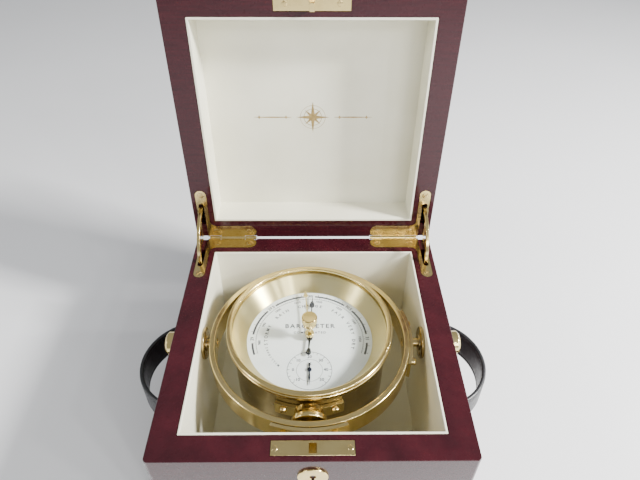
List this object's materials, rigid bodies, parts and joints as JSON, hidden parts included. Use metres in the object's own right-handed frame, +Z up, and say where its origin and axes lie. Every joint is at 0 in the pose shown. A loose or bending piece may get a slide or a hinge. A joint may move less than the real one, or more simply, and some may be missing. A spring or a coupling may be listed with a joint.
{
  "type": "marine barometer",
  "caption": "Gimballed marine barometer with thermometer, in a lacquered hinged box with quadrant stays, a cream lining, a box lock and leather carrying handles.",
  "frame": {"origin": "centre of the felt's underside, which the case rests on", "axes": "+Z up, +Y towards the hinged side, -Y the front, +X to the right seen from the front"},
  "size_m": [0.253, 0.2333, 0.2989],
  "materials": {
    "lacquered_wood": "high-gloss dark red-brown lacquer",
    "felt": "matt",
    "lining": "matt cream",
    "brass": "polished",
    "brushed_brass": "turned satin",
    "glass": "clear",
    "dial_white": "satin silvered white",
    "leather": "black, fine grain",
    "blued_steel": "blued",
    "steel": "satin"
  },
  "bodies": {
    "case": {"base_floor": "lacquered_wood", "base_wall_front": "lacquered_wood", "base_wall_back": "lacquered_wood", "base_wall_left": "lacquered_wood", "base_wall_right": "lacquered_wood", "base_felt": "felt", "well_liner": "lining", "handle_strap_left": "leather", "handle_strap_right": "leather", "hinge_leaf_base_left": "brass", "hinge_pin_left": "brass", "pivot_bush_left": "brass", "pivot_cap_left": "brass", "pivot_pin_left": "steel", "handle_plate_left_front": "brass", "handle_plate_left_back": "brass", "hinge_leaf_base_right": "brass", "hinge_pin_right": "brass", "pivot_bush_right": "brass", "pivot_cap_right": "brass", "pivot_pin_right": "steel", "handle_plate_right_front": "brass", "handle_plate_right_back": "brass", "lock_case": "brass", "lock_escutcheon": "brass"},
    "lid": {"lid_wall_front": "lacquered_wood", "lid_wall_back": "lacquered_wood", "lid_wall_left": "lacquered_wood", "lid_wall_right": "lacquered_wood", "lid_top": "lacquered_wood", "lid_liner": "lining", "hinge_leaf_lid_left": "brass", "hinge_leaf_lid_right": "brass", "lock_strike": "brass"},
    "lock_bolt": {"lock_bolt": "steel"},
    "stay_left": {"stay_left": "brass"},
    "stay_right": {"stay_right": "brass"},
    "ring": {"gimbal_ring": "brass", "ring_strip_right": "brass", "ring_strip_front": "brass", "ring_pivot_front": "brass", "ring_pivot_back": "brass"},
    "bowl": {"bowl": "brass", "bezel": "brass", "glass": "glass", "reflector_cone": "brushed_brass", "dial": "dial_white", "trunnion_front": "brass", "trunnion_back": "brass", "movement_plate": "brass", "aneroid_capsule": "steel", "main_spring": "steel", "thermometer_coil": "steel"},
    "set_pointer": {"set_knob": "brass", "set_hand": "brass"},
    "pressure_pointer": {"pressure_hand": "blued_steel"},
    "rocking_lever": {"rocking_lever": "steel"},
    "thermometer_pointer": {"thermometer_hand": "blued_steel"}
  },
  "joints": [
    {"name": "lid_hinge", "type": "hinge", "parent": "case", "child": "lid", "pos_m": [0, 0.0956, 0.1084], "axis": [1, 0, 0], "range_deg": [0, 92]},
    {"name": "stay_left_slide", "type": "hinge", "parent": "case", "child": "stay_left", "pos_m": [0, 0.0956, 0.1084], "axis": [1, 0, 0], "range_deg": [0, 46]},
    {"name": "stay_right_slide", "type": "hinge", "parent": "case", "child": "stay_right", "pos_m": [0, 0.0956, 0.1084], "axis": [1, 0, 0], "range_deg": [0, 46]},
    {"name": "lock_bolt_slide", "type": "slide", "parent": "case", "child": "lock_bolt", "axis": [1, 0, 0], "range_m": [0, 0.0062]},
    {"name": "ring_tilt", "type": "hinge", "parent": "case", "child": "ring", "pos_m": [-0.0024, 0, 0.0922], "axis": [1, 0, 0], "range_deg": [-13, 13]},
    {"name": "bowl_tilt", "type": "hinge", "parent": "ring", "child": "bowl", "pos_m": [-0.0024, 0, 0.0922], "axis": [0, 1, 0], "range_deg": [-13, 13]},
    {"name": "set_knob_turn", "type": "hinge", "parent": "bowl", "child": "set_pointer", "pos_m": [-0.0024, 0, 0.0922], "axis": [0, 0, 1], "continuous": true},
    {"name": "pressure_hand_turn", "type": "hinge", "parent": "bowl", "child": "pressure_pointer", "pos_m": [-0.0024, 0, 0.0922], "axis": [0, 0, 1], "range_deg": [-150, 150]},
    {"name": "rocking_lever_rock", "type": "hinge", "parent": "bowl", "child": "rocking_lever", "pos_m": [-0.0024, -0.008, 0.0822], "axis": [1, 0, 0], "range_deg": [-7.5, 7.5]},
    {"name": "thermometer_hand_turn", "type": "hinge", "parent": "bowl", "child": "thermometer_pointer", "pos_m": [-0.0024, -0.0265, 0.0922], "axis": [0, 0, 1], "range_deg": [-130, 130]}
  ],
  "couplings": [
    {"joint": "stay_left_slide", "follows": "lid_hinge", "ratio": 0.5},
    {"joint": "stay_right_slide", "follows": "lid_hinge", "ratio": 0.5},
    {"joint": "rocking_lever_rock", "follows": "pressure_hand_turn", "ratio": 0.05}
  ]
}
